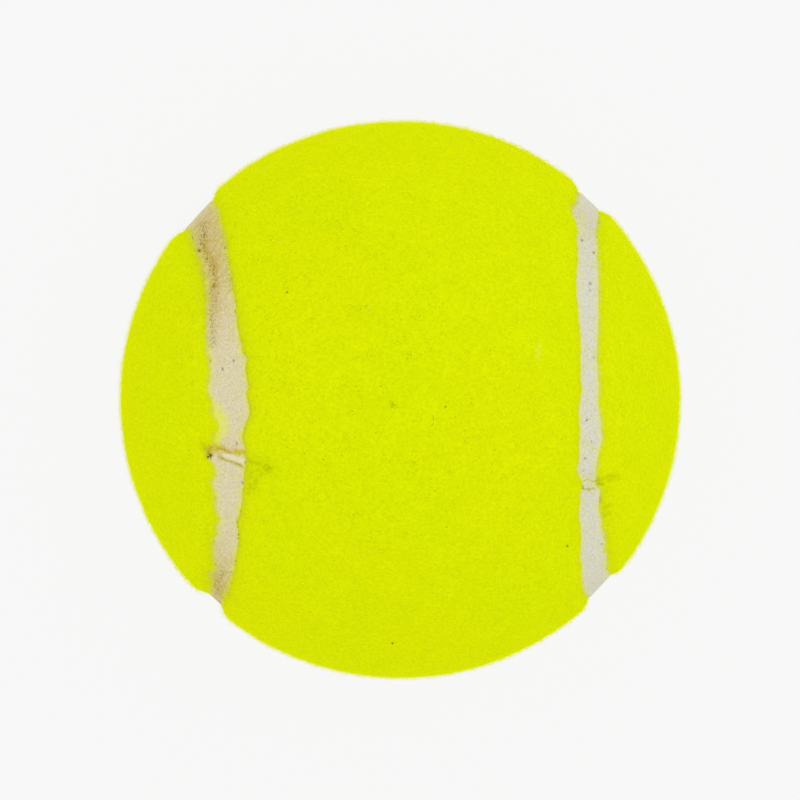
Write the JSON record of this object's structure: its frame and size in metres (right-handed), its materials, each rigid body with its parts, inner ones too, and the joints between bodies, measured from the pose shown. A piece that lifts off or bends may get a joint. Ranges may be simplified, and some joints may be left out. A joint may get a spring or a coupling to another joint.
{
  "type": "tennis ball",
  "caption": "Felt-covered hollow rubber ball for tennis: dog-bone felt panels wrap a two-part core and meet at a recessed white cement seam.",
  "frame": {"origin": "the ball's centre", "axes": "+Z through the middle of panel A's waist, +X across that waist, +Y along panel A; panel B is the same panel turned half a turn about the line between +X and +Y"},
  "size_m": [0.067, 0.067, 0.067],
  "materials": {
    "core_rubber": "matte",
    "bond_cement": "matte",
    "felt": "napped",
    "seam_cement": "matte"
  },
  "bodies": {
    "root": {"core_half_top": "core_rubber", "core_half_bottom": "core_rubber", "core_joint_cement": "bond_cement", "panel_cement_a": "bond_cement", "panel_cement_b": "bond_cement", "felt_panel_a": "felt", "felt_panel_b": "felt", "seam_cement_a": "seam_cement", "seam_cement_b": "seam_cement"}
  },
  "joints": []
}
